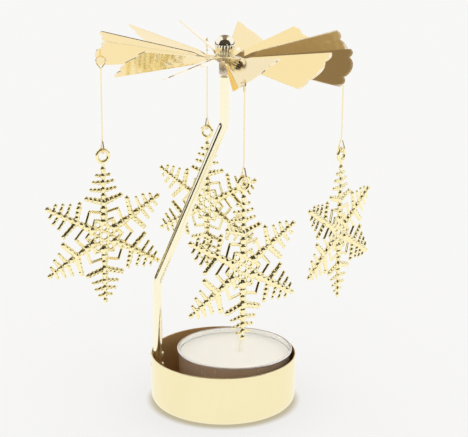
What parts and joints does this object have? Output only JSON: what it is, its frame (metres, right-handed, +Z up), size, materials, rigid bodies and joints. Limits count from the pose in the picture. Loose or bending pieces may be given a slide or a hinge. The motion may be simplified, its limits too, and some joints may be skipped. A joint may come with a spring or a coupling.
{
  "type": "candle carousel",
  "caption": "Tealight carousel: a bent post in a round tray carries a twisted-vane rotor that rising warm air turns, with snowflakes hanging from it on wires.",
  "frame": {"origin": "centre of the tray's underside, where it stands; the rotor's axis passes through it", "axes": "+Z up along the rotor's axis; -X is the side of the tray where the post is riveted; -Y is the front"},
  "size_m": [0.106, 0.0992, 0.1226],
  "materials": {
    "pale_gold_sheet": "mirror-polished thin sheet",
    "gold_rod": "polished",
    "gold_wire": "polished wire",
    "gold_flake": "bright cast and polished",
    "cup_aluminium": "thin drawn foil cup, satin",
    "candle_wax": "smooth ivory wax",
    "wick_cotton": "waxed cotton cord",
    "tab_steel": "tinned sheet"
  },
  "bodies": {
    "base": {"base_tray": "pale_gold_sheet", "post": "gold_rod", "post_rivet_upper": "gold_rod", "post_rivet_lower": "gold_rod"},
    "rotor": {"vane_disc": "pale_gold_sheet", "rotor_knob": "gold_rod", "rotor_washer": "gold_rod", "rotor_bush": "gold_rod"},
    "tealight": {"tealight_cup": "cup_aluminium", "tealight_wax": "candle_wax", "wick": "wick_cotton", "wick_tab": "tab_steel"},
    "wire_right": {"hanger_wire_right": "gold_wire"},
    "flake_right": {"snowflake_right": "gold_flake"},
    "wire_back": {"hanger_wire_back": "gold_wire"},
    "flake_back": {"snowflake_back": "gold_flake"},
    "wire_left": {"hanger_wire_left": "gold_wire"},
    "flake_left": {"snowflake_left": "gold_flake"},
    "wire_front": {"hanger_wire_front": "gold_wire"},
    "flake_front": {"snowflake_front": "gold_flake"}
  },
  "joints": [
    {"name": "rotor_spin", "type": "hinge", "parent": "base", "child": "rotor", "pos_m": [0, 0, 0.118], "axis": [0, 0, 1], "continuous": true},
    {"name": "tealight_lift", "type": "slide", "parent": "base", "child": "tealight", "axis": [0, 0, 1], "range_m": [0, 0.02]},
    {"name": "wire_right_swing", "type": "hinge", "parent": "rotor", "child": "wire_right", "pos_m": [0.03795, 0.00623, 0.11257], "axis": [0.1619, -0.9868, 0], "range_deg": [-4, 15]},
    {"name": "flake_right_turn", "type": "hinge", "parent": "wire_right", "child": "flake_right", "pos_m": [0.03795, 0.00623, 0.08462], "axis": [0, 0, 1], "range_deg": [-20, 25]},
    {"name": "wire_back_swing", "type": "hinge", "parent": "rotor", "child": "wire_back", "pos_m": [-0.006, 0.03823, 0.11411], "axis": [0.9879, 0.155, 0], "range_deg": [-4, 15]},
    {"name": "flake_back_turn", "type": "hinge", "parent": "wire_back", "child": "flake_back", "pos_m": [-0.006, 0.03823, 0.08527], "axis": [0, 0, 1], "range_deg": [-25, 20]},
    {"name": "wire_left_swing", "type": "hinge", "parent": "rotor", "child": "wire_left", "pos_m": [-0.03831, -0.00585, 0.11449], "axis": [-0.151, 0.9885, 0], "range_deg": [-1, 15]},
    {"name": "flake_left_turn", "type": "hinge", "parent": "wire_left", "child": "flake_left", "pos_m": [-0.03831, -0.00585, 0.08654], "axis": [0, 0, 1], "range_deg": [-3, 25]},
    {"name": "wire_front_swing", "type": "hinge", "parent": "rotor", "child": "wire_front", "pos_m": [0.00575, -0.03816, 0.11283], "axis": [-0.9888, -0.149, 0], "range_deg": [-4, 15]},
    {"name": "flake_front_turn", "type": "hinge", "parent": "wire_front", "child": "flake_front", "pos_m": [0.00575, -0.03816, 0.08593], "axis": [0, 0, 1], "range_deg": [-20, 25]}
  ]
}
